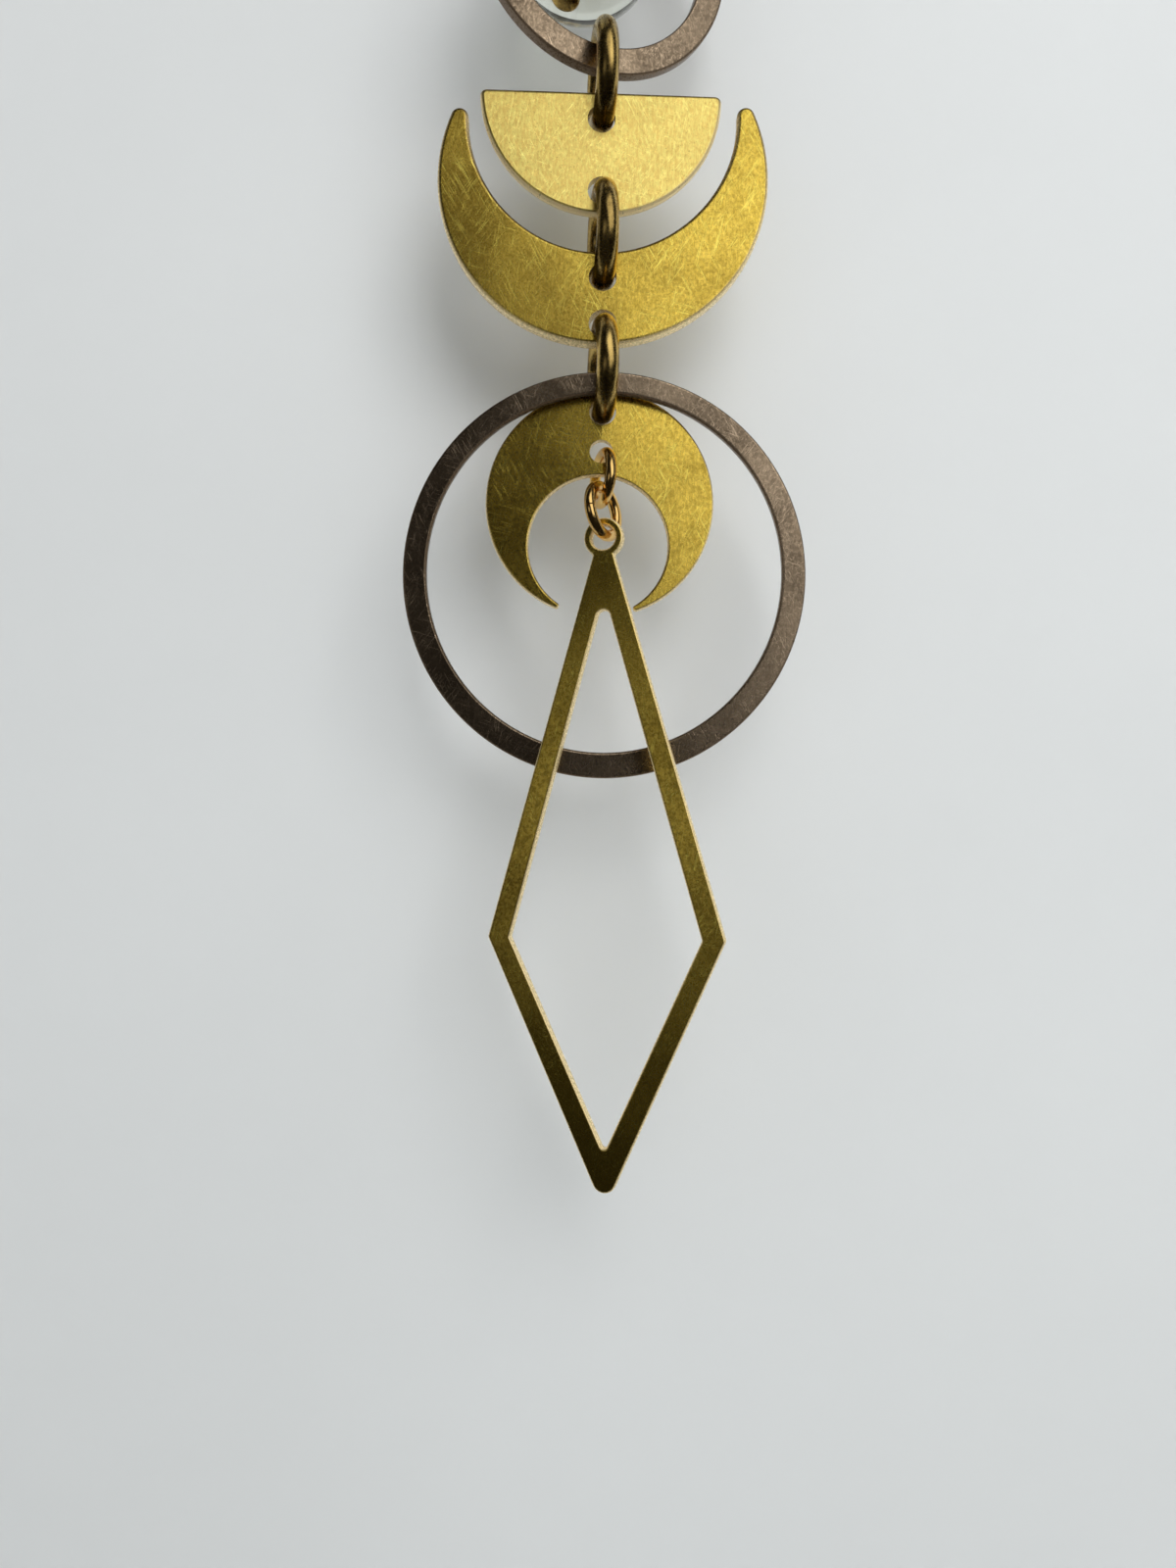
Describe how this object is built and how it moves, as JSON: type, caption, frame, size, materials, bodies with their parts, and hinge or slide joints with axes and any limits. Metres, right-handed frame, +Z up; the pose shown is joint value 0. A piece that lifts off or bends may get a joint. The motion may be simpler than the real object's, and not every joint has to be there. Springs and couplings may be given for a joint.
{
  "type": "hanging mobile sculpture",
  "caption": "Small hanging mobile of flat brass shapes linked by jump rings: ring with glass ball, half disc, crescents, large ring and kite-shaped drop.",
  "frame": {"origin": "the highest point inside the hanging ring, where a hook or nail carries the mobile", "axes": "+Z up along the hanging line, +X to the viewer's right, +Y away from the viewer into the wall, so the front faces -Y"},
  "size_m": [0.0302, 0.0111, 0.1157],
  "materials": {
    "bright_brass": "brushed, worn, light gold",
    "olive_brass": "satin, patinated gold",
    "antique_bronze": "satin, dark antique patina",
    "antique_brass_wire": "polished wire with dark patina",
    "gold_wire": "polished wire",
    "clear_glass": "clear, polished"
  },
  "bodies": {
    "root": {"hanging_ring": "antique_brass_wire", "jump_ring_top": "antique_brass_wire", "top_ring": "antique_bronze", "glass_ball": "clear_glass", "ball_pin": "antique_brass_wire", "jump_ring_upper": "antique_brass_wire", "half_disc": "bright_brass", "jump_ring_middle": "antique_brass_wire", "large_crescent": "olive_brass", "jump_ring_lower": "antique_brass_wire", "large_ring": "antique_bronze", "small_crescent": "olive_brass", "small_link_upper": "gold_wire", "small_link_lower": "gold_wire", "kite_drop": "olive_brass"}
  },
  "joints": []
}
